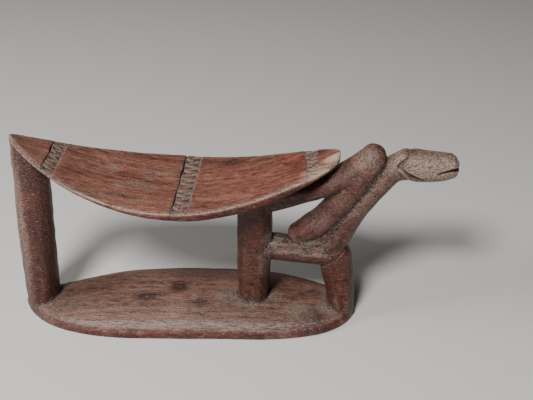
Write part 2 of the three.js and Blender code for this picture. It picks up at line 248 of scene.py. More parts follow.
def flattened(out, y, spec, along):
    # A profile in units of its half sizes, cut off by straight flats. Each stands at a share of the profile's
    # own reach in its direction (for |x|^p + |y|^p = 1 that is the dual norm), which wanders along the limb.
    # The whole is then scaled to the same mean size, whatever the share.
    count, turn, share = spec["flats"]
    random = np.random.default_rng(flatWander["seed"])
    dual = spec["roundness"] / (spec["roundness"] - 1)
    for k in range(count):
        angle = tau * k / count + math.radians(turn)
        toOut, toY = math.cos(angle), math.sin(angle)
        reach = (abs(toOut) ** dual + abs(toY) ** dual) ** (1 / dual)
        rounds = along / flatWander["length"] * random.uniform(*flatWander["stretch"])
        drift = np.sin(tau * (rounds + random.uniform()))
        over = np.clip(out * toOut + y * toY - reach * (share + flatWander["share"] * drift), 0, None)
        out, y = out - over * toOut, y - over * toY
    return out * flatWander["meanSize"] / (1 + share), y * flatWander["meanSize"] / (1 + share)


def limbSurface(spec):
    # A rounded profile carried along the limb's path in the plane y = 0. Each end shrinks as a quarter
    # circle.
    t = np.linspace(0, 1, grid["limbSteps"] + 1)
    small = 1e-3    # a step along the path, and how far short of a point the domed ends stop
    row = smoothThrough(spec["stations"], t)
    keel = smoothThrough([(k,) for k in spec.get("keel", (0, 0))], t)
    along = smoothThrough(spec["stations"], np.minimum(t + small, 1))[:, :2]
    along = along - smoothThrough(spec["stations"], np.maximum(t - small, 0))[:, :2]
    along /= np.linalg.norm(along, axis=1, keepdims=True)
    turn = np.linspace(0, math.pi / 2, grid["capSteps"] + 1)[1:] - small
    pick = np.concatenate([np.zeros(len(turn), int), np.arange(len(t)), np.full(len(turn), len(t) - 1)])
    scale = np.concatenate([np.cos(turn[::-1]), np.ones(len(t)), np.cos(turn)])[:, None]
    shift = np.concatenate([-spec["caps"][0] * np.sin(turn[::-1]), 0 * t, spec["caps"][1] * np.sin(turn)])
    x, z, half, deep = (row[pick, c][:, None] for c in range(4))
    ax, az = along[pick, 0][:, None], along[pick, 1][:, None]
    shift = shift[:, None] * half
    a = (np.arange(grid["limbSides"])[None, :] + 0.5) * tau / grid["limbSides"]
    side = power(np.cos(a), 2 / spec["roundness"])
    length = np.concatenate([[0], np.cumsum(np.linalg.norm(np.diff(row[:, :2], axis=0), axis=1))])
    out, y = flattened(side, power(np.sin(a), 2 / spec["roundness"]), spec, length[pick][:, None])
    out = half * scale * out
    y = deep * scale * (1 - keel[pick] * (1 - side) / 2) * y
    return np.stack([x + ax * shift + az * out, y, z + az * shift - ax * out], -1)


def closedShell(rings):
    # Rings of points joined into quads, with a fan of triangles to the middle of each end ring.
    count, around = rings.shape[:2]
    i, j = np.meshgrid(np.arange(count - 1), np.arange(around), indexing="ij")
    k = (j + 1) % around
    quads = np.stack([i * around + j, i * around + k, (i + 1) * around + k, (i + 1) * around + j], -1)
    points = np.concatenate([rings.reshape(-1, 3), rings[0].mean(0)[None], rings[-1].mean(0)[None]])
    first, last = count * around, count * around + 1
    j = np.arange(around)
    k = (j + 1) % around
    end = (count - 1) * around
    startFan = np.stack([k, j, 0 * j + first], -1)
    endFan = np.stack([end + j, end + k, 0 * j + last], -1)
    return points, quads.reshape(-1, 4), np.concatenate([startFan, endFan])


def meshFrom(name, points, quads, triangles):
    # Writes numpy arrays, in millimetres, into a new mesh in metres.
    mesh = bpy.data.meshes.new(name)
    loops = np.concatenate([quads.ravel(), triangles.ravel()]).astype(np.int32)
    sizes = np.concatenate([np.full(len(quads), 4), np.full(len(triangles), 3)])
    starts = np.concatenate([[0], np.cumsum(sizes)[:-1]]).astype(np.int32)
    mesh.vertices.add(len(points))
    mesh.vertices.foreach_set("co", (points * mm).astype(np.float32).ravel())
    mesh.loops.add(len(loops))
    mesh.loops.foreach_set("vertex_index", loops)
    mesh.polygons.add(len(sizes))
    mesh.polygons.foreach_set("loop_start", starts)
    mesh.update(calc_edges=True)
    mesh.validate()
    return mesh


def blank():
    # All the shapes as overlapping closed shells in one mesh. Posts stop inside the pillow, and nothing goes
    # below the floor.
    surfaces = [boardSurface(base, -base["halfLength"], base["halfLength"], baseSection),
                boardSurface(pillow, pillow["leftTip"], pillow["rightTip"], pillowSection)]
    for name, spec in limbs.items():
        rings = limbSurface(spec)
        if name in ("leftPost", "leg"):
            rings[..., 2] = np.minimum(rings[..., 2], rim(rings[..., 0]) - pillow["postsEnd"])
        surfaces.append(rings)
    points, quads, fans, before = [], [], [], 0
    for rings in surfaces:
        p, q, f = closedShell(rings)
        p[:, 2] = np.maximum(p[:, 2], 0)
        points.append(p)
        quads.append(q + before)
        fans.append(f + before)
        before += len(p)
    return meshFrom("blank", np.concatenate(points), np.concatenate(quads), np.concatenate(fans))


def applied(obj):
    # The object's mesh with its modifiers applied; the modifiers are removed.
    graph = bpy.context.evaluated_depsgraph_get()
    mesh = bpy.data.meshes.new_from_object(obj.evaluated_get(graph))
    obj.modifiers.clear()
    old = obj.data
    obj.data = mesh
    bpy.data.meshes.remove(old)
    return obj


def pointsOf(mesh):
    # The vertices in millimetres.
    points = np.empty(len(mesh.vertices) * 3, np.float32)
    mesh.vertices.foreach_get("co", points)
    return points.reshape(-1, 3).astype(float) / mm


def normalsOf(mesh):
    # The vertices' normals.
    normals = np.empty(len(mesh.vertices) * 3, np.float32)
    mesh.vertex_normals.foreach_get("vector", normals)
    return normals.reshape(-1, 3).astype(float)


def edgesOf(mesh):
    # The two vertices of each edge.
    edges = np.empty(len(mesh.edges) * 2, np.int32)
    mesh.edges.foreach_get("vertices", edges)
    return edges.reshape(-1, 2)


def movePoints(mesh, points):
    # Puts the vertices at these places, given in millimetres.
    mesh.vertices.foreach_set("co", (points * mm).astype(np.float32).ravel())
    mesh.update()


def neighbourMean(values, edges):
    # The mean of each vertex's neighbours, column by column.
    count = len(values)
    a = np.concatenate([edges[:, 0], edges[:, 1]])
    b = np.concatenate([edges[:, 1], edges[:, 0]])
    share = 1 / np.maximum(np.bincount(a, minlength=count), 1)
    columns = values.reshape(count, -1)
    means = [np.bincount(a, columns[b, c], count) * share for c in range(columns.shape[1])]
    return np.stack(means, -1).reshape(values.shape)


# The one skin round all the shapes: its fineness, how it is evened, and how hollows are rounded out.
shape = {
    "voxel": 0.85, "mostTriangles": 192000,
    "evenRounds": 2, "evenShare": 0.5,
    # The least radius of a hollow: x, z, reach, radius. It is full out to 1 - 1 / hollowFade of the reach.
    "hollows": [(-122, 14, 30, 4), (59, 14, 28, 2.5), (142, 10, 26, 2), (76, 68, 14, 4), (61, 128, 22, 4),
                (-118, 134, 26, 3), (110, 68, 20, 2.5), (114, 82, 14, 4)],
    "hollowElsewhere": 1.2, "hollowFade": 1.6,
    "hollowRounds": 60, "hollowEvery": 6, "hollowShare": 0.9,
}


def joinShapes():
    # One skin round all the shells.
    obj = bpy.data.objects.new("headrest_carving", blank())
    bpy.context.scene.collection.objects.link(obj)
    remesh = obj.modifiers.new("oneSkin", "REMESH")
    remesh.mode = "VOXEL"
    remesh.voxel_size = shape["voxel"] * mm
    return applied(obj)


def hollowRadius(points):
    # The least radius of a hollow at each point: large at the feet and joints named, small elsewhere.
    radius = np.full(len(points), float(shape["hollowElsewhere"]))
    fade = shape["hollowFade"]
    for x, z, reach, size in shape["hollows"]:
        near = np.hypot(points[:, 0] - x, points[:, 2] - z) / reach
        radius = np.maximum(radius, size * np.clip(fade - fade * near, 0, 1))
    return radius


def thicken(points, mesh, edges, radius):
    # Fills hollows sharper than the radius: where the mean of a point's neighbours lies out along its normal
    # by more than the curve of that radius would put it (length^2 / 4 radius), the point moves out.
    length = np.linalg.norm(points[edges[:, 0]] - points[edges[:, 1]], axis=1)
    allowed = length.mean() ** 2 / (4 * radius)
    for k in range(shape["hollowRounds"]):
        if k % shape["hollowEvery"] == 0:
            movePoints(mesh, points)
            normals = normalsOf(mesh)
        gap = ((neighbourMean(points, edges) - points) * normals).sum(1)
        points = points + normals * (shape["hollowShare"] * np.clip(gap - allowed, 0, None))[:, None]
    return points


# How far off a board's surface a point still counts as its own: under the pillow, beside it, past its tips
# and over it, and over the base. Fades are the heights over which the share ends.
boardReach = {"under": 1.2, "underFade": 1.4, "beside": 1.8, "past": 2, "over": 3,
              "overBase": 1.6, "baseFade": 1.2}


def pillowShare(points):
    # 1 on the pillow, 0 off it, from its section at each point.
    half, middle, top, bottom = pillowSection(points[:, 0])
    v = np.clip((points[:, 1] - middle) / np.maximum(half, 1), -1, 1)
    upper = np.clip((points[:, 2] - bottom(v) + boardReach["under"]) / boardReach["underFade"], 0, 1)
    within = np.clip(half + boardReach["beside"] - np.abs(points[:, 1] - middle), 0, 1)
    left = points[:, 0] - pillow["leftTip"] + boardReach["past"]
    right = pillow["rightTip"] + boardReach["past"] - points[:, 0]
    ends = np.clip(np.minimum(left, right), 0, 1)
    return upper * within * ends * (points[:, 2] < top(v) + boardReach["over"])


def baseShare(points):
    # 1 on the base, 0 above it.
    half, middle, top, _ = baseSection(points[:, 0])
    v = np.clip((points[:, 1] - middle) / np.maximum(half, 1), -1, 1)
    return np.clip((top(v) + boardReach["overBase"] - points[:, 2]) / boardReach["baseFade"], 0, 1)


# The carver's marks: slow waves in every surface, and the flat facets that a knife leaves on the limbs.
carver = {
    "waves": [(48, 0.2), (17, 0.09), (7, 0.05)],  # wavelength and height
    "waveSeed": 3,
    "boardShare": 0.5,                            # how much of the waves the two boards show
    "facetPitch": 6, "facetStretch": 2.4, "facetShare": 0.4, "facetLeast": -0.25, "facetMost": 0.4,
    "facetSeed": 11, "facetNear": 5, "facetBlock": 12, "facetReach": 1.6,
    "facetFrom": 0.02,                            # the least share of limb that is faceted
    "facetTurn": 0.2, "facetAside": 400,          # seeds that face more aside count as farther, in square mm
    "facetRounds": 2, "facetEven": 0.5,           # how the facets' edges are worn
    "fineFrom": 0.01, "fineRounds": 2,            # the least cut that needs the finer mesh, and its margin
    "flankFade": 2.4,                             # how fast the grooves end where a limb's side turns up
    "flatFoot": 0.35,                             # below this height the base is flat
}


def waves(points, wavelength, seed, count=14, stretch=(0.8, 1.25)):
    # A smooth random field: the sum of plane waves in random directions, about 1 high.
    random = np.random.default_rng(seed)
    direction = random.normal(size=(count, 3))
    direction /= np.linalg.norm(direction, axis=1, keepdims=True)
    rate = tau / (wavelength * random.uniform(*stretch, count))
    phase = random.uniform(0, tau, count)
    total = np.zeros(len(points))
    for k in range(count):
        total += np.sin(points @ direction[k] * rate[k] + phase[k])
    return total * math.sqrt(2 / count)


def limbDirection(points, pathPoints=60, atOnce=8000):
    # The direction along the limb whose path passes nearest, in the plane of the paths.
    t = np.linspace(0, 1, pathPoints)
    place, along = [], []
    for spec in limbs.values():
        row = smoothThrough(spec["stations"], t)[:, :2]
        step = np.gradient(row, axis=0)
        place.append(row)
        along.append(step / np.linalg.norm(step, axis=1, keepdims=True))
    place, along = np.concatenate(place), np.concatenate(along)
    nearest = np.empty(len(points), int)
    for part in np.array_split(np.arange(len(points)), max(1, len(points) // atOnce)):
        gap = points[part][:, None, ::2] - place[None]
        nearest[part] = (gap ** 2).sum(-1).argmin(1)
    return np.stack([along[nearest, 0], 0 * nearest, along[nearest, 1]], -1)


def knifeFacets(points, normals, where):
    # Flat knife cuts: the surface moves to the lowest of the tangent planes at the nearest few seed points.
    # Seeds are one in each cell of a lattice, and nearness is stretched along the limb. The skin is worked
    # through in blocks, each with the seeds round it.
    picked = np.flatnonzero(where > carver["facetFrom"])
    spots, upright = points[picked], normals[picked]
    along = limbDirection(spots)
    random = np.random.default_rng(carver["facetSeed"])
    order = random.permutation(len(spots))
    cellKey = np.array([1, 1000, 1000000])    # makes one number of a cell's three
    cells = np.floor(spots[order] / carver["facetPitch"]).astype(np.int64)
    _, first = np.unique(cells @ cellKey, return_index=True)
    seeds = order[first]
    shrink = 1 - 1 / carver["facetStretch"] ** 2
    size = carver["facetBlock"]
    blocks = np.floor(spots[:, ::2] / size).astype(np.int64)
    _, block = np.unique(blocks @ cellKey[:2], return_inverse=True)
    move = np.zeros(len(spots))
    for k in range(block.max() + 1):
        part = np.flatnonzero(block == k)
        away = np.abs(spots[seeds][:, ::2] - (blocks[part[0]] + 0.5) * size).max(1)
        near = seeds[away < carver["facetReach"] * size]
        gap = spots[near][None] - spots[part][:, None]
        run = (gap * along[part][:, None]).sum(-1)
        far = (gap ** 2).sum(-1) - shrink * run ** 2
        far = far + carver["facetAside"] * (upright[part] @ upright[near].T < carver["facetTurn"])
        few = min(carver["facetNear"], len(near) - 1)
        nearest = np.argpartition(far, few, axis=1)[:, :few]
        height = np.take_along_axis((gap * upright[near][None]).sum(-1), nearest, axis=1)
        move[part] = height.min(1)
    move = np.clip(move, carver["facetLeast"], carver["facetMost"])
    result = np.zeros(len(points))
    result[picked] = (move - move.mean()) * where[picked] * carver["facetShare"]
    return result


# Incised bands across the pillow: for each of the two lines its x at the middle, how it leans, its depth and
# its width, and then the pitch of the chips. Triangles are chipped out from both lines in turn, which leaves
# a zigzag standing.
bands = [
    {"lines": [(-114.3, 0.0, 1.8, 2.0), (-104.4, 0.0, 0.3, 1.0)], "pitch": 9.1},
    {"lines": [(-4.1, 0.024, 1.6, 1.9), (9.85, 0.036, 0.4, 1.2)], "pitch": 10.4},
    {"lines": [(105.1, -0.02, 0.9, 1.5), (114.7, -0.012, 1.1, 1.2)], "pitch": 7.5},
]

# How the bands' chips and lines are cut.
chip = {
    "reach": (0.72, 0.76),             # of the band's width, from its left line and from its right one
    "width": 0.9,                      # of the pitch
    "depth": 1.4, "spread": 0.32, "seed": 5, "edgeLeft": 1.2,
    "overLine": 0.4,                   # how far a chip reaches back over its line
    "sunk": 0.25, "sunkFade": 0.6,     # how deep the whole band lies, and how wide its edge is
    "lineWaves": 0.16, "lineWavelength": 20, "unevenLine": 0.22, "unevenSeed": 7,
    "lineFade": 20, "lineLeast": 0.3,  # how far from the front edge the lines get shallower, and to what
    "faceTurn": 0.3, "faceFade": 0.4,  # how far round the edge the cuts go, by the normal's fall
    "faceEnd": 1.6,                    # and by the depth under the rim, in corners
}


def bandRelief(points):
    # How deep the bands' lines and chips are cut at each point, and whether it lies in a band. Lines are
    # grooves of triangular section. Each chip is a pit with three sloping sides: its depth grows with the
    # distance to the nearest side of a triangle that stands on a line.
    scored, chipped, inside = (np.zeros(len(points)) for _ in range(3))
    random = np.random.default_rng(chip["seed"])
    x, y = points[:, 0], points[:, 1]
    for band in bands:
        wander = [chip["lineWaves"] * waves(np.stack([y, 0 * y, 0 * y], -1), chip["lineWavelength"], k)
                  for k in range(2)]
        lines = [at + lean * y + wander[k] for k, (at, lean, _, _) in enumerate(band["lines"])]
        within = np.minimum(x - lines[0], lines[1] - x)
        inside = np.maximum(inside, np.clip(within / chip["sunkFade"] + 1, 0, 1))
        half = float(pillowSection(np.array([band["lines"][0][0]]))[0][0])
        fade = np.clip((y + half) / chip["lineFade"], chip["lineLeast"], 1)
        rough = waves(np.stack([y, x, 0 * y], -1), chip["lineWavelength"], chip["unevenSeed"])
        uneven = fade + chip["unevenLine"] * rough
        for line, (_, _, deep, wide) in zip(lines, band["lines"]):
            groove = np.clip(1 - np.abs(x - line) / (wide * uneven / 2), 0, 1)
            scored = np.maximum(scored, deep * uneven * groove)
        breadth = band["lines"][1][0] - band["lines"][0][0]
        count = int(2 * (half - chip["edgeLeft"]) / band["pitch"])
        for k in range(2 * count):    # the two sides in turn, half a pitch apart
            sign = 1 - 2 * (k % 2)
            jitter = 1 + chip["spread"] * random.uniform(-1, 1, 3)
            middle = (k // 2 - (count - 1) / 2 - sign / 4 + (jitter[2] - 1) / 2) * band["pitch"]
            wide = band["pitch"] * chip["width"] / 2 * jitter[0]
            long = breadth * chip["reach"][k % 2] * jitter[1]
            u = (x - lines[k % 2]) * sign
            slant = math.hypot(long, wide)
            slopes = (wide * (1 - u / long) - np.abs(y - middle)) * long / slant
            sides = np.minimum(u + chip["overLine"], slopes)
            inradius = wide * long / (wide + slant)
            chipped = np.maximum(chipped, chip["depth"] * jitter[2] * np.clip(sides / inradius, 0, 1))
    return scored, chipped, inside


# Grooves cut on both sides of the animal, as paths of x, z with a width and depth at their two ends. A
# negative depth is a ridge left standing.
grooves = {
    "mouth": {"path": [(214.5, 153.2), (219, 154.2), (223.4, 155), (228, 155.5), (232, 155.4), (238, 155.4)],
              "width": (1.8, 5.5), "depth": (1, 5)},
    "behindCheek": {"path": [(182.3, 158), (186, 161.8), (190.5, 164.6), (194, 166)],
                    "width": (3.6, 3.6), "depth": (2.2, 0.6)},
    "cheekRidge": {"path": [(185.4, 159), (189.5, 161.4), (196, 162.6)],
                   "width": (3, 3.4), "depth": (-1, -0.4)},
    "neckFold": {"path": [(181, 161), (184.5, 164.6), (188.5, 167)],
                 "width": (4, 4), "depth": (-0.9, -0.2)},
    "jaw": {"path": [(182.4, 158), (186, 155.4), (190.3, 152.2), (194.5, 149.8)],
            "width": (3.4, 5.4), "depth": (2, 3.4)},
    "jawEnd": {"path": [(194.5, 149.8), (199, 147.8), (205, 146)],
               "width": (5.4, 4), "depth": (3.4, 0.2)},
    "jawRidge": {"path": [(183.6, 158.6), (187.5, 156), (192.5, 153), (198.2, 150.7), (205, 149)],
                 "width": (3, 4), "depth": (-0.7, -0.3)},
    "collar": {"path": [(174, 146.5), (177.4, 150.4), (179.4, 157)],
               "width": (2.6, 2.6), "depth": (-0.5, -0.4)},
    "nostril": {"path": [(229.2, 163.6), (230.4, 162.4)],
                "width": (1.8, 1.8), "depth": (0.8, 0.8)},
    "behindShin": {"path": [(172, 163), (160.3, 144.2), (143, 119), (126, 94.5)],
                   "width": (2.6, 2.6), "depth": (1.1, 1)},
    "insideKnee": {"path": [(118, 121.5), (128, 127.4), (141, 136.6)],
                   "width": (3, 1.6), "depth": (1.2, 0.3)},
    "underNeck": {"path": [(147.5, 79.5), (140, 70.8), (132.5, 63.5)],
                  "width": (2.4, 2.2), "depth": (1.1, 0.6)},
    "barRidge": {"path": [(76, 72.4), (100, 70.4), (120, 67.4), (130, 66)],
                 "width": (7, 6), "depth": (-0.6, -0.4)},
}


def grooveRelief(points):
    # How deep the grooves are cut: a round-bottomed groove along each path, seen from the side. Width and
    # depth run evenly from one end of the path to the other. Ridges have a negative depth.
    depth, ridge = np.zeros(len(points)), np.zeros(len(points))
    spot = points[:, ::2]
    rows = np.arange(len(points))
    for groove in grooves.values():
        path = np.array(groove["path"], float)
        step = np.diff(path, axis=0)
        length = np.linalg.norm(step, axis=1)
        start = np.concatenate([[0], np.cumsum(length)[:-1]])
        gap = spot[:, None] - path[None, :-1]
        t = np.clip((gap * step[None]).sum(-1) / length ** 2, 0, 1)
        away = np.linalg.norm(gap - t[..., None] * step[None], axis=-1)
        k = away.argmin(1)
        along = (start[k] + t[rows, k] * length[k]) / length.sum()
        width = groove["width"][0] + (groove["width"][1] - groove["width"][0]) * along
        deep = groove["depth"][0] + (groove["depth"][1] - groove["depth"][0]) * along
        cut = deep * np.clip(1 - (2 * away[rows, k] / width) ** 2, 0, 1)
        depth = np.maximum(depth, cut)
        ridge = np.minimum(ridge, cut)
    return np.where(depth > 0, depth, ridge)


# The worn edges of the two boards, and their painted light and shade, in millimetres from the edge inward or
# below the rim. Fades are the widths over which a mark ends, and turns are how a mark ends where the surface
# turns away from above.
edge = {
    "corner": 1.5,                                   # how deep the pillow's corner reaches
    "uneven": (22, 0.3), "seed": 31,                 # wavelength and height of the marks' wandering
    "topTurn": 3, "cutTurn": 0.2,
    "line": (0.8, 0.48),                             # the pale line, worn and a painted highlight: how far in, how wide
    "zone": 5.5, "zoneFade": 2.5, "zoneOnCut": 0.7,  # the grey zone, and how much less of it a cut shows
    "face": 1.5, "faceTurn": 1.3,                    # the fade and turn of the pillow's face, darkened as painted shade
    "film": 11, "filmFade": 8, "filmFrom": -95,      # the film at the left end: how far in, and up to what x
    "filmOnCut": 0.8, "filmInside": 0.7,
    "sheen": (0.87, 0.09),                           # the greasy shoulder's painted sheen: where across, its spread
    # the base's side face, darkened as painted shade: below what height, its fade and turn
    "baseFace": 10.5, "baseFade": 2, "baseTurn": 0.75,
    "backShare": 0.45,                               # how much of the wear the back shows
}


def edgeZones(points, normals):
    # Where the two boards are worn, and where light and shade are painted on them. Along the pillow's edge: a
    # pale line, worn and a painted highlight, a grey zone inside it, and below it a face darkened as painted
    # shade, from the distance inward and the depth under the rim. The slanting cut is cream-coloured at the
    # right end and under a film at the left one. Along the base's edge: a greasy shoulder with a painted
    # sheen, and a side face darkened as painted shade. The back of both is plainer.
    x, y, z = points.T
    half, middle, _, _ = pillowSection(x)
    front = np.where(y < middle, 1, edge["backShare"])
    wavelength, height = edge["uneven"]
    inward = half - np.abs(y - middle) + height * waves(points, wavelength, edge["seed"])
    cut = bevelCut(x, y)
    under = rim(x) - cut - z
    upper = np.clip(edge["corner"] - under, 0, 1) * np.clip(normals[:, 2] * edge["topTurn"], 0, 1)
    fallen = np.clip(cut, 0, 1) * (normals[:, 2] > edge["cutTurn"])
    line = upper * np.exp(-((inward - edge["line"][0]) / edge["line"][1]) ** 2) * front * (1 - fallen)
    zone = upper * np.clip((edge["zone"] - inward) / edge["zoneFade"], 0, 1) * front
    filmed = edge["filmInside"] * upper * np.clip((edge["film"] - inward) / edge["filmFade"], 0, 1) * front
    baseHalf, baseMiddle, _, _ = baseSection(x)
    across = np.abs(y - baseMiddle) / np.maximum(baseHalf, 1)
    sheen = np.clip(1 - np.abs(across - edge["sheen"][0]) / edge["sheen"][1], 0, 1)
    baseFront = np.where(y < baseMiddle, 1, edge["backShare"])
    low = np.clip((edge["baseFace"] - z) / edge["baseFade"], 0, 1)
    return {
        "line": line,
        "zone": zone * (1 - edge["zoneOnCut"] * fallen),
        # the face below the rim, darker the more it turns from above: painted shade
        "face": np.clip((under - edge["corner"]) / edge["face"], 0, 1)
        * np.clip(edge["faceTurn"] - normals[:, 2], 0, 1),
        "creamEnd": fallen * (x > 0),
        "filmEnd": np.maximum(edge["filmOnCut"] * fallen, filmed * (x < edge["filmFrom"])) * (x < 0),
        # the shoulder's painted sheen
        "baseSheen": sheen * baseFront * (1 - low),
        # the side face: painted shade
        "baseFace": low * (normals[:, 2] < edge["baseTurn"]),
    }


# What counts as a hollow, a crease or a corner: how far a point lies under or over the skin round it, once
# that is evened broadly or finely. The grooves add to the hollows, and on the head to the creases.
wear = {
    "evenShare": 0.6, "broadRounds": 50, "fineRounds": 6,
    "hollow": 0.7, "crease": 0.15, "corner": 0.12, "cornerFrom": 0.2,
    "headFrom": 176, "grooveHollow": 0.5, "grooveCrease": 0.7, "grooveMost": 1.4,
}


def bend(mesh, points, edges, rounds):
    # How far each point lies under the skin round it, along its normal, once that skin is evened towards its
    # neighbours' mean so many times.
    even = points
    for _ in range(rounds):
        even = even + wear["evenShare"] * (neighbourMean(even, edges) - even)
    return ((even - points) * normalsOf(mesh)).sum(1)


def bends(mesh, points, groove, onLimbs):
    # Hollows from the broad bend, creases and corners from the fine one, and the grooves with them.
    edges = edgesOf(mesh)
    broad, fine = (bend(mesh, points, edges, wear[name]) for name in ("broadRounds", "fineRounds"))
    x = points[:, 0]
    hollow = np.clip(groove, 0, 1) * wear["grooveHollow"] * (x < wear["headFrom"])
    crease = np.clip(groove, 0, wear["grooveMost"]) * wear["grooveCrease"] * (x > wear["headFrom"])
    return {
        "hollow": np.clip(broad / wear["hollow"], 0, 1) + hollow,
        "crease": np.clip(fine / wear["crease"], 0, 1) + crease,
        "corner": np.clip(-fine / wear["corner"] - wear["cornerFrom"], 0, 1) * onLimbs,
    }


# Marks as soft ovals: on the two boards x, y, the half lengths along X and Y, and strength, seen from above;
# on the limbs x, z, the half lengths along X and Z, and strength, seen from the side. Stains are nearly black
# and film is grey dust. Aged wood is pale and greyed, grime is dark, and red is where the wood looks redder.
# At the ovals noted below, aged is also painted highlight, grime painted shade, red a painted red reflection,
# and one film oval painted light.
marks = {
    "stain": {
        "pillow": [(38, 34, 12, 4.5, 1), (47, 33, 7, 3, 0.8), (73, 28, 11, 2.8, 0.9), (-95, 20, 14, 4, 0.3),
                   (-46, -30, 16, 5, 0.35), (12, 34, 8, 6, 0.35), (92, -8, 12, 3, 0.25)],
        "base": [(-10.5, 4.5, 9, 7.5, 1.2), (-39, -11, 12, 5.5, 1), (-30, -8, 6, 4, 0.8),
                 (12, -19, 8, 6.5, 0.9), (38, -1, 10, 8, 0.6), (50, -13, 10, 6, 0.6), (115, -27, 12, 11, 0.9),
                 (119, 6, 12, 5, 0.5), (104, -38, 8, 5, 0.4), (-85, 0, 20, 8, 0.3), (-112, -22, 16, 6, 0.4),
                 (75, -22, 14, 3, 0.4)],
    },
    "film": {
        "pillow": [(-62, 14, 6, 5, 0.9), (-40, -8, 9, 5, 0.55), (-27, -11, 7, 4, 0.6), (-26, 15, 8, 3, 0.9),
                   (-17, 17, 6, 2.4, 0.7), (-52, -13, 8, 3, 0.5), (83, 10, 2.6, 1.2, 1.4),
                   (-34, 7, 6, 4, 0.4), (-70, 4, 9, 2, 0.35), (-55, -34, 40, 6, 0.3), (-120, -6, 14, 9, 0.2)],
        # the last base oval, along the back, is painted light where the pillow's shadow falls
        "base": [(-120, -16, 30, 12, 0.3), (36, -6, 14, 9, 0.6), (56, -19, 16, 5, 0.6), (78, -4, 9, 8, 0.6),
                 (128, -16, 9, 8, 0.8), (102, -22, 14, 10, 0.6), (-14, 37, 9, 2, 1), (132, 2, 8, 14, 0.5),
                 (-20, -30, 90, 12, 0.3), (0, 36, 110, 9, 0.5)],
        "limbs": [(79, 84, 9, 7, 1.2), (70, 62, 5, 14, 0.4), (112, 80, 14, 3, 0.6), (84, 76, 12, 4, 0.3),
                  (98, 70, 28, 8, 0.15)],
    },
    "agedAndHighlight": {
        # painted highlight: the knee's patch, the bar's two thin stripes, the strip down the left post's left
        # side
        "limbs": [(212, 157, 36, 12, 1), (184, 160, 9, 9, 0.8), (212, 146, 22, 6, 0.5),
                  (90, 71.6, 14, 1.8, 0.35), (114, 69, 14, 1.8, 0.35), (110, 79, 14, 3, 0.25),
                  (150, 114, 9, 14, 0.22), (158, 130, 9, 12, 0.25), (118, 104, 12, 9, 0.2),
                  (136, 124, 12, 10, 0.15), (156, 164, 13, 11, 0.42), (140, 150, 16, 8, 0.2),
                  (168, 142, 12, 10, 0.3), (-145, 100, 5, 70, 0.45)],
    },
    "grimeAndShade": {
        "pillow": [(-143, 0, 9, 12, 0.5)],
        "base": [(-128, -18, 24, 20, 0.5), (-152, -8, 12, 30, 0.8)],
        # painted shade: under the pillow on the left post, the strips down the limbs' sides, and under the
        # jaw
        "limbs": [(-126, 150, 12, 20, 1.2), (-128, 104, 7, 14, 0.6), (-127, 90, 9, 20, 0.8),
                  (-123, 70, 7, 64, 0.8), (-128, 58, 8, 14, 0.6), (47, 60, 5, 60, 0.7), (74, 60, 4, 60, 0.8),
                  (130, 152, 12, 7, 0.7), (109, 132, 12, 6, 0.5), (112, 112, 12, 10, 0.7),
                  (142, 103, 12, 8, 0.6), (140, 79, 9, 6, 0.4), (76, 118, 14, 6, 0.5), (104, 62, 26, 5, 0.6),
                  (126, 30, 5, 34, 0.9), (154, 30, 6, 34, 0.5), (211, 146, 20, 4, 0.4)],
    },
    "redAndReflection": {
        # painted red reflected light: the foreleg's oval and the base's long oval along its back
        "pillow": [(62, 4, 44, 36, 0.35), (95, 6, 20, 24, 0.8)],
        "base": [(-20, 38, 110, 12, 0.5), (96, 30, 30, 10, 0.6)],
        "limbs": [(138, 22, 14, 34, 0.85), (60, 100, 14, 30, 0.4), (152, 156, 13, 13, 0.5),
                  (132, 112, 12, 14, 0.4), (-130, 20, 16, 16, 0.3)],
    },
}
ovalFall, ovalEnd = 0.7, 3    # how fast an oval fades, and where it ends, in its half lengths


def ovals(points, spots):
    # The strongest of some soft ovals, each exp(-0.7 r^4) of the distance r in its own half lengths.
    # Points and ovals are in the same plane.
    total = np.zeros(len(points))
    for x, y, longX, longY, strength in spots:
        r = np.hypot((points[:, 0] - x) / longX, (points[:, 1] - y) / longY)
        total = np.maximum(total, strength * np.exp(-np.minimum(r, ovalEnd) ** 4 * ovalFall))
    return total


def store(mesh, name, values):
    # Keeps a number or a vector at each vertex, for the material.
    vector = values.ndim == 2
    stored = mesh.attributes.new(name, "FLOAT_VECTOR" if vector else "FLOAT", "POINT")
    stored.data.foreach_set("vector" if vector else "value", values.astype(np.float32).ravel())


def finerMesh(obj, where):
    # Halves the edges of the faces where fine carving comes.
    mesh = obj.data
    starts = np.empty(len(mesh.polygons), np.int32)
    mesh.polygons.foreach_get("loop_start", starts)
    corners, sides = np.empty(len(mesh.loops), np.int32), np.empty(len(mesh.loops), np.int32)
    mesh.loops.foreach_get("vertex_index", corners)
    mesh.loops.foreach_get("edge_index", sides)
    picked = np.maximum.reduceat(where[corners], starts) > 0
    wanted = np.unique(sides[np.repeat(picked, np.diff(starts, append=len(sides)))])
    work = bmesh.new()
    work.from_mesh(mesh)
    work.edges.ensure_lookup_table()
    halved = [work.edges[i] for i in wanted.tolist()]
    bmesh.ops.subdivide_edges(work, edges=halved, cuts=1, use_grid_fill=True)
    work.to_mesh(mesh)
    work.free()


def roundOut(mesh):
    # Evens the skin towards its neighbours' mean, and rounds out its hollows.
    points, edges = pointsOf(mesh), edgesOf(mesh)
    for _ in range(shape["evenRounds"]):
        points += shape["evenShare"] * (neighbourMean(points, edges) - points)
    points = thicken(points, mesh, edges, hollowRadius(points))
    movePoints(mesh, points)
    return points, edges


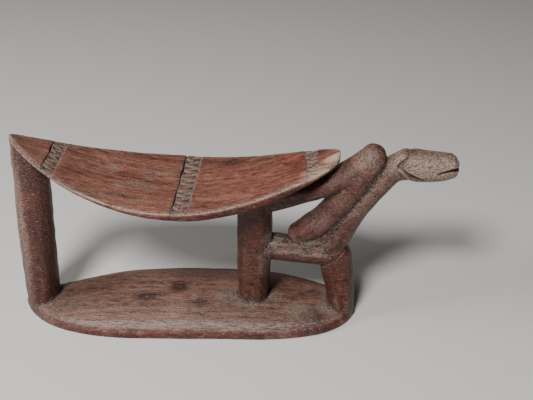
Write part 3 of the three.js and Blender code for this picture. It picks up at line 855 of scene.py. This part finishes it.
def carve(obj):
    # Rounds out the hollows, moves the skin along its normals by the waves and then by the knife's facets,
    # and makes the mesh finer where the bands and the grooves are cut.
    mesh = obj.data
    points, edges = roundOut(mesh)
    print("stage: knife marks")
    onPillow, onBase = pillowShare(points), baseShare(points)
    boards = np.maximum(onPillow, onBase)
    lift = sum(high * waves(points, length, carver["waveSeed"] + i)
               for i, (length, high) in enumerate(carver["waves"]))
    lift *= 1 - (1 - carver["boardShare"]) * boards
    points += normalsOf(mesh) * lift[:, None]
    movePoints(mesh, points)
    facets = knifeFacets(points, normalsOf(mesh), 1 - boards)
    for _ in range(carver["facetRounds"]):
        facets += carver["facetEven"] * (neighbourMean(facets, edges) - facets)
    points += normalsOf(mesh) * facets[:, None]
    movePoints(mesh, points)

    print("stage: bands and grooves")
    upper = onPillow * (normalsOf(mesh)[:, 2] > -chip["faceTurn"])
    margin = bandRelief(points)[2] * upper + np.abs(grooveRelief(points)) * (1 - boards)
    for _ in range(carver["fineRounds"]):
        margin = np.maximum(margin, neighbourMean(margin, edges))
    finerMesh(obj, margin > carver["fineFrom"])
    cutFine(mesh)


def cutFine(mesh):
    # Cuts the bands and the grooves along the normals, flattens the base's foot, and stores at each vertex
    # what lies there, and where light and shade are painted.
    points, normals = pointsOf(mesh), normalsOf(mesh)
    onPillow, onBase = pillowShare(points), baseShare(points)
    onLimbs = 1 - np.maximum(onPillow, onBase)
    scored, chipped, inside = bandRelief(points)
    under = rim(points[:, 0]) - bevelCut(points[:, 0], points[:, 1]) - points[:, 2]
    face = np.clip((normals[:, 2] + chip["faceTurn"]) / chip["faceFade"], 0, 1) * onPillow
    face = face * np.clip(chip["faceEnd"] - under / edge["corner"], 0, 1)
    flank = np.clip(carver["flankFade"] * (1 - np.abs(normals[:, 2])), 0, 1)
    groove = grooveRelief(points) * flank * onLimbs
    cut = (np.maximum(scored, chipped) + chip["sunk"] * inside) * face
    points -= normals * (cut + groove)[:, None]
    points[:, 2] = np.maximum(points[:, 2], 0)
    points[points[:, 2] < carver["flatFoot"], 2] = 0
    movePoints(mesh, points)

    grain = points.copy()
    grain[:, 2] -= onPillow * (rim(points[:, 0]) - pillow["rimHeight"])
    store(mesh, "grain", grain * mm)
    store(mesh, "pillow", onPillow)
    store(mesh, "base", onBase)
    store(mesh, "cut", scored * face)
    store(mesh, "chips", chipped * face)
    store(mesh, "band", inside * face)
    for name, values in bends(mesh, points, groove, onLimbs).items():
        store(mesh, name, values)
    for name, values in edgeZones(points, normals).items():
        store(mesh, name, values * (onBase if name.startswith("base") else onPillow))
    for kind, places in marks.items():
        where = onLimbs * ovals(points[:, ::2], places.get("limbs", []))
        for share, name in ((onPillow, "pillow"), (onBase, "base")):
            where += ovals(points[:, :2], places.get(name, [])) * share * (normals[:, 2] > 0)
        store(mesh, kind, where)


def triangleCount(mesh):
    # A face of n corners is n - 2 triangles.
    return len(mesh.loops) - 2 * len(mesh.polygons)


def thinOut(obj):
    # Collapses the smallest details until the mesh has no more triangles than wanted.
    before = triangleCount(obj.data)
    if before > shape["mostTriangles"]:
        decimate = obj.modifiers.new("thinOut", "DECIMATE")
        decimate.ratio = shape["mostTriangles"] / before
        applied(obj)
    print("triangles", before, "thinned to", triangleCount(obj.data))


# The photograph's camera, in millimetres, pixels and degrees.
photoView = {
    "width": 533, "focalPixels": 800, "sensor": 36,
    "target": (71.51, 0, 118.25), "distance": 697.92,
    "pitch": 31, "yaw": 1.2, "roll": 0.3, "nearest": 10,
}


def aim(camera, view):
    # The camera looks at the target from the pitch and yaw given, turned by the roll.
    pitch, yaw, roll = (math.radians(view[k]) for k in ("pitch", "yaw", "roll"))
    back = Vector((math.sin(yaw) * math.cos(pitch), -math.cos(yaw) * math.cos(pitch), math.sin(pitch)))
    right = Vector((math.cos(yaw), math.sin(yaw), 0))
    up = back.cross(right)
    across = math.cos(roll) * right + math.sin(roll) * up
    upright = math.cos(roll) * up - math.sin(roll) * right
    place = Vector(view["target"]) * mm + back * view["distance"] * mm
    turn = Matrix((across, upright, back)).transposed().to_4x4()
    camera.matrix_world = Matrix.Translation(place) @ turn


def makeCamera():
    # The focal length in millimetres is that in pixels over the picture's width, times the sensor's.
    data = bpy.data.cameras.new("camera")
    data.sensor_width = photoView["sensor"]
    data.lens = photoView["focalPixels"] / photoView["width"] * photoView["sensor"]
    data.clip_start = photoView["nearest"] * mm
    camera = bpy.data.objects.new("camera", data)
    bpy.context.scene.collection.objects.link(camera)
    aim(camera, photoView)
    bpy.context.scene.camera = camera


# Lights and floor, in metres.
lights = {
    "target": (0.04, 0, 0.08), "colour": (1, 0.98, 0.96),
    "key": {"place": (-0.36, -1.02, 1.4), "size": 0.46, "watts": 41},
    "side": {"place": (-1.6, -0.35, 0.9), "size": 0.6, "watts": 18},
    "room": {"Color": (1, 0.97, 0.96, 1), "Strength": 0.06},
}
floorLook = {"reach": 3.0, "below": 0.0002, "colour": (0.6, 0.59, 0.575, 1), "roughness": 0.8}


def softLight(name):
    # A round lamp that faces the target.
    lamp = lights[name]
    data = bpy.data.lights.new(name, "AREA")
    data.shape = "DISK"
    data.size = lamp["size"]
    data.energy = lamp["watts"]
    data.color = lights["colour"]
    light = bpy.data.objects.new(name, data)
    bpy.context.scene.collection.objects.link(light)
    light.location = lamp["place"]
    toTarget = Vector(lights["target"]) - Vector(lamp["place"])
    light.rotation_euler = toTarget.to_track_quat("-Z", "Y").to_euler()


def makeLights():
    # The two lamps, and a faint even light from all round.
    softLight("key")
    softLight("side")
    world = bpy.data.worlds.new("room")
    world.use_nodes = True
    for name, value in lights["room"].items():
        world.node_tree.nodes["Background"].inputs[name].default_value = value
    bpy.context.scene.world = world


def makeFloor():
    # A square sheet just under the base.
    reach, below = floorLook["reach"], floorLook["below"]
    corners = [(x * reach, y * reach, -below) for x, y in ((-1, -1), (1, -1), (1, 1), (-1, 1))]
    mesh = bpy.data.meshes.new("floor")
    mesh.from_pydata(corners, [], [(0, 1, 2, 3)])
    floor = bpy.data.objects.new("floor", mesh)
    bpy.context.scene.collection.objects.link(floor)
    material = bpy.data.materials.new("floorPaint")
    material.use_nodes = True
    shader = material.node_tree.nodes["Principled BSDF"]
    shader.inputs["Base Color"].default_value = floorLook["colour"]
    shader.inputs["Roughness"].default_value = floorLook["roughness"]
    mesh.materials.append(material)


# Colours of the wood, of what lies on it, and of painted light and shade, linear: sheen is a painted sheen,
# face, baseFace and deep are painted shade, grime is partly painted shade, aged and worn partly painted
# highlight, and red partly painted red reflected light.
paint = {
    "pillowDark": (0.04, 0.0135, 0.01), "pillowLight": (0.4, 0.172, 0.122),
    "limbDark": (0.011, 0.0035, 0.0025), "limbLight": (0.148, 0.047, 0.032),
    "baseDark": (0.036, 0.018, 0.014), "baseLight": (0.31, 0.168, 0.13),
    "fleck": (0.5, 0.32, 0.25), "cloud": (0.5, 0.4, 0.38), "pore": (0.02, 0.008, 0.006),
    "redAndReflection": (0.9, 0.56, 0.5), "stain": (0.028, 0.015, 0.015), "grimeAndShade": (0.34, 0.27, 0.26),
    "dust": (0.25, 0.21, 0.18), "agedAndHighlight": (0.43, 0.335, 0.27), "film": (0.25, 0.22, 0.185),
    "sheen": (0.28, 0.25, 0.25), "face": (0.3, 0.13, 0.105), "baseFace": (0.55, 0.25, 0.22),
    "filling": (0.1, 0.086, 0.075), "deep": (0.014, 0.007, 0.006),
    "cream": (0.39, 0.305, 0.235), "wornAndHighlight": (0.6, 0.5, 0.4), "rubbed": (0.27, 0.17, 0.125),
}

# Noises in the wood: along the grain or in place, features per metre along X, Y and Z, detail and roughness.
noises = {
    "streak": ("grain", (120, 800, 800), 3, 0.66), "vein": ("grain", (20, 250, 250), 2, 0.5),
    "fleck": ("grain", (190, 1500, 1500), 2, 0.6), "mottle": ("place", (520, 640, 640), 4, 0.62),
    "blotch": ("place", (95, 130, 130), 3, 0.6), "cloud": ("place", (22, 34, 34), 2, 0.5),
    "speck": ("place", (1000, 1200, 1200), 2, 0.6),
}

# How light the wood is, from two noises each: the part of a noise that is used, and how much it gives.
tones = {
    "grain": [("streak", 0.34, 0.66, 0.7), ("vein", 0.35, 0.65, 0.3)],
    "skin": [("mottle", 0.37, 0.65, 0.6), ("blotch", 0.34, 0.66, 0.4)],
}

# Coats over the wood, from the first to the last, each on a noise or on a mark stored in the mesh. Either a
# part of that shows, or all of it, broken up by a noise: the part used, and what it becomes. Some are
# painted light and shade, as noted.
coats = [
    {"on": "cloud", "shows": (0.4, 0.66), "most": 0.6, "paint": "cloud", "blend": "MULTIPLY"},
    # red: redder wood, and painted red reflected light at the ovals so noted
    {"on": "redAndReflection", "most": 0.9, "paint": "redAndReflection", "blend": "MULTIPLY"},
    # aged: greyed wood, and painted highlight at the ovals so noted
    {"on": "agedAndHighlight", "broken": ("mottle", 0.38, 0.62, 0.25, 1), "most": 0.85, "paint": "agedAndHighlight"},
    # grime, and painted shade at the ovals so noted
    {"on": "grimeAndShade", "broken": ("blotch", 0.3, 0.6), "most": 0.9, "paint": "grimeAndShade", "blend": "MULTIPLY"},
    # painted shade on the pillow's face below the rim, reddened as painted reflected light
    {"on": "face", "broken": ("blotch", 0.25, 0.45, 0.4, 1), "most": 0.95, "paint": "face",
     "blend": "MULTIPLY"},
    # painted shade on the base's side face, reddened as painted reflected light
    {"on": "baseFace", "broken": ("blotch", 0.3, 0.5), "most": 1, "paint": "baseFace", "blend": "MULTIPLY"},
    {"on": "stain", "broken": ("mottle", 0.24, 0.54), "most": 0.9, "paint": "stain"},
    {"on": "film", "broken": ("mottle", 0.38, 0.58), "most": 0.85, "paint": "film"},
    {"on": "filmEnd", "most": 0.45, "paint": "grimeAndShade", "blend": "MULTIPLY"},
    {"on": "filmEnd", "broken": ("mottle", 0.42, 0.6), "most": 0.85, "paint": "film"},
    # painted sheen on the base's greasy shoulder
    {"on": "baseSheen", "broken": ("streak", 0.38, 0.6), "most": 0.75, "paint": "sheen"},
    {"on": "zone", "broken": ("streak", 0.38, 0.6), "most": 0.8, "paint": "film"},
    {"on": "hollow", "most": 0.6, "paint": "grimeAndShade", "blend": "MULTIPLY"},
    {"on": "hollow", "broken": ("mottle", 0.43, 0.58), "most": 0.85, "paint": "dust"},
    {"on": "fleck", "shows": (0.6, 0.72), "most": 0.5, "paint": "fleck"},
    {"on": "mottle", "shows": (0.6, 0.74), "most": 0.25, "paint": "dust"},
    {"on": "speck", "shows": (0.56, 0.68), "most": 0.7, "paint": "pore"},
    {"on": "band", "most": 0.35, "paint": "grimeAndShade", "blend": "MULTIPLY"},
    {"on": "band", "broken": ("mottle", 0.45, 0.6), "most": 0.65, "paint": "film"},
    {"on": "chips", "shows": (0.02, 0.2), "most": 0.4, "paint": "dust"},
    {"on": "chips", "shows": (0.3, 0.7), "most": 0.9, "paint": "filling"},
    # painted shade in the chips' deepest parts
    {"on": "chips", "shows": (0.7, 1.4), "most": 0.7, "paint": "deep"},
    {"on": "cut", "shows": (0.05, 0.3), "most": 0.45, "paint": "dust"},
    # painted shade in the lines' deepest parts
    {"on": "cut", "shows": (0.45, 1.1), "most": 0.94, "paint": "deep"},
    # painted shade in the creases and the head's grooves
    {"on": "crease", "shows": (0.3, 1.0), "most": 0.6, "paint": "deep"},
    {"on": "creamEnd", "broken": ("vein", 0.4, 0.62, 0.15, 1), "most": 0.85, "paint": "cream"},
    # the worn pale line along the rim, partly a painted highlight
    {"on": "line", "broken": ("mottle", 0.4, 0.58), "most": 0.8, "paint": "wornAndHighlight"},
    {"on": "corner", "broken": ("cloud", 0.42, 0.62), "most": 0.4, "paint": "rubbed"},
]

# Gloss and relief: the part of the mottling that sets the roughness and what it becomes, how much rougher
# film and hollows are and how much smoother aged wood and its painted highlights are, and how much each noise
# stands out.
finish = {
    "rough": ("mottle", 0.3, 0.7, 0.26, 0.5), "dull": 0.2, "polish": 0.1, "specular": 0.35,
    "relief": {"streak": 0.5, "mottle": 1.2, "speck": 0.3}, "strength": 0.8, "distance": 0.001,
}


def addNode(tree, kind, inputs, **settings):
    # A node with its settings, and with each input either joined to a socket or given a plain value.
    node = tree.nodes.new(kind)
    for name, value in settings.items():
        setattr(node, name, value)
    for key, value in inputs.items():
        if isinstance(value, bpy.types.NodeSocket):
            tree.links.new(value, node.inputs[key])
        else:
            node.inputs[key].default_value = value
    return node


def attribute(tree, name):
    # A number stored at the vertices.
    return addNode(tree, "ShaderNodeAttribute", {}, attribute_name=name).outputs["Fac"]


def noise(tree, place, rates, detail, roughness):
    # Noise whose features are 1 / rate metres long along each axis.
    stretched = addNode(tree, "ShaderNodeMapping", {"Vector": place, "Scale": rates})
    inputs = {"Vector": stretched.outputs["Vector"], "Scale": 1.0, "Detail": detail, "Roughness": roughness}
    return addNode(tree, "ShaderNodeTexNoise", inputs).outputs["Fac"]


def spread(tree, value, low, high, toLow=0.0, toHigh=1.0):
    # The value's part from low to high, stretched and clamped.
    inputs = {"Value": value, "From Min": low, "From Max": high, "To Min": toLow, "To Max": toHigh}
    return addNode(tree, "ShaderNodeMapRange", inputs).outputs["Result"]


def calculate(tree, operation, a, b, clamp=False):
    # One sum of two values, clamped to 0 to 1 if wanted.
    node = addNode(tree, "ShaderNodeMath", {0: a, 1: b}, operation=operation, use_clamp=clamp)
    return node.outputs["Value"]


def mixed(tree, share, a, b, blend="MIX"):
    # Colour a, with b laid over it by a share.
    inputs = {"Factor": share, "A": a, "B": b}
    node = tree.nodes.new("ShaderNodeMix")
    node.data_type = "RGBA"
    node.blend_type = blend
    for key, value in inputs.items():
        socket = next(k for k in node.inputs if k.name == key and k.enabled)
        if isinstance(value, bpy.types.NodeSocket):
            tree.links.new(value, socket)
        else:
            socket.default_value = value if key == "Factor" else (*value, 1)
    return next(k for k in node.outputs if k.enabled)


def laid(tree, tone, fields, coat):
    # The tone with a coat over it. Its share is the part of the noise or mark that shows, stretched to the
    # most, or the mark times the noise that breaks it up, clamped, times the most.
    name, most = coat["on"], coat["most"]
    source = fields[name] if name in fields else attribute(tree, name)
    if "shows" in coat:
        share = spread(tree, source, *coat["shows"], 0, most)
    else:
        broken = 1.0
        if "broken" in coat:
            field, *part = coat["broken"]
            broken = spread(tree, fields[field], *part)
        share = calculate(tree, "MULTIPLY", calculate(tree, "MULTIPLY", source, broken, True), most)
    return mixed(tree, share, tone, paint[coat["paint"]], coat.get("blend", "MIX"))


def woodMaterial():
    # Dark hardwood, grain along X: tones by streaks and mottling, then the coats over them in their order,
    # some of them painted light and shade.
    material = bpy.data.materials.new("wood")
    material.use_nodes = True
    tree = material.node_tree
    shader = tree.nodes["Principled BSDF"]
    places = {
        "place": addNode(tree, "ShaderNodeTexCoord", {}).outputs["Object"],
        "grain": addNode(tree, "ShaderNodeAttribute", {}, attribute_name="grain").outputs["Vector"],
    }
    fields = {name: noise(tree, places[kind], *rest) for name, (kind, *rest) in noises.items()}

    light = {}
    for name, parts in tones.items():
        first, second = (spread(tree, fields[field], low, high, 0, most) for field, low, high, most in parts)
        light[name] = calculate(tree, "ADD", first, second)
    limbTone = mixed(tree, light["skin"], paint["limbDark"], paint["limbLight"])
    pillowTone = mixed(tree, light["grain"], paint["pillowDark"], paint["pillowLight"])
    baseTone = mixed(tree, light["grain"], paint["baseDark"], paint["baseLight"])
    tone = mixed(tree, attribute(tree, "base"), limbTone, baseTone)
    tone = mixed(tree, attribute(tree, "pillow"), tone, pillowTone)
    for coat in coats:
        tone = laid(tree, tone, fields, coat)
    tree.links.new(tone, shader.inputs["Base Color"])

    field, *part = finish["rough"]
    rough = spread(tree, fields[field], *part)
    matt = calculate(tree, "ADD", attribute(tree, "hollow"), attribute(tree, "film"), True)
    rough = calculate(tree, "ADD", rough, calculate(tree, "MULTIPLY", matt, finish["dull"]), True)
    smooth = calculate(tree, "MULTIPLY", attribute(tree, "agedAndHighlight"), finish["polish"])
    tree.links.new(calculate(tree, "SUBTRACT", rough, smooth), shader.inputs["Roughness"])
    shader.inputs["Specular IOR Level"].default_value = finish["specular"]
    height = 0.0
    for name, share in finish["relief"].items():
        height = calculate(tree, "ADD", calculate(tree, "MULTIPLY", fields[name], share), height)
    relief = {"Height": height, "Strength": finish["strength"], "Distance": finish["distance"]}
    tree.links.new(addNode(tree, "ShaderNodeBump", relief).outputs["Normal"], shader.inputs["Normal"])
    return material


print("stage: camera, lights, floor")
makeCamera()
makeLights()
makeFloor()

print("stage: shapes joined into one skin")
carving = joinShapes()
print("vertices", len(carving.data.vertices))

print("stage: hollows rounded out")
carve(carving)
thinOut(carving)
carving.data.shade_smooth()

print("stage: wood")
carving.data.materials.clear()
carving.data.materials.append(woodMaterial())

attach(carving, "root")
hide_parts("headrest")
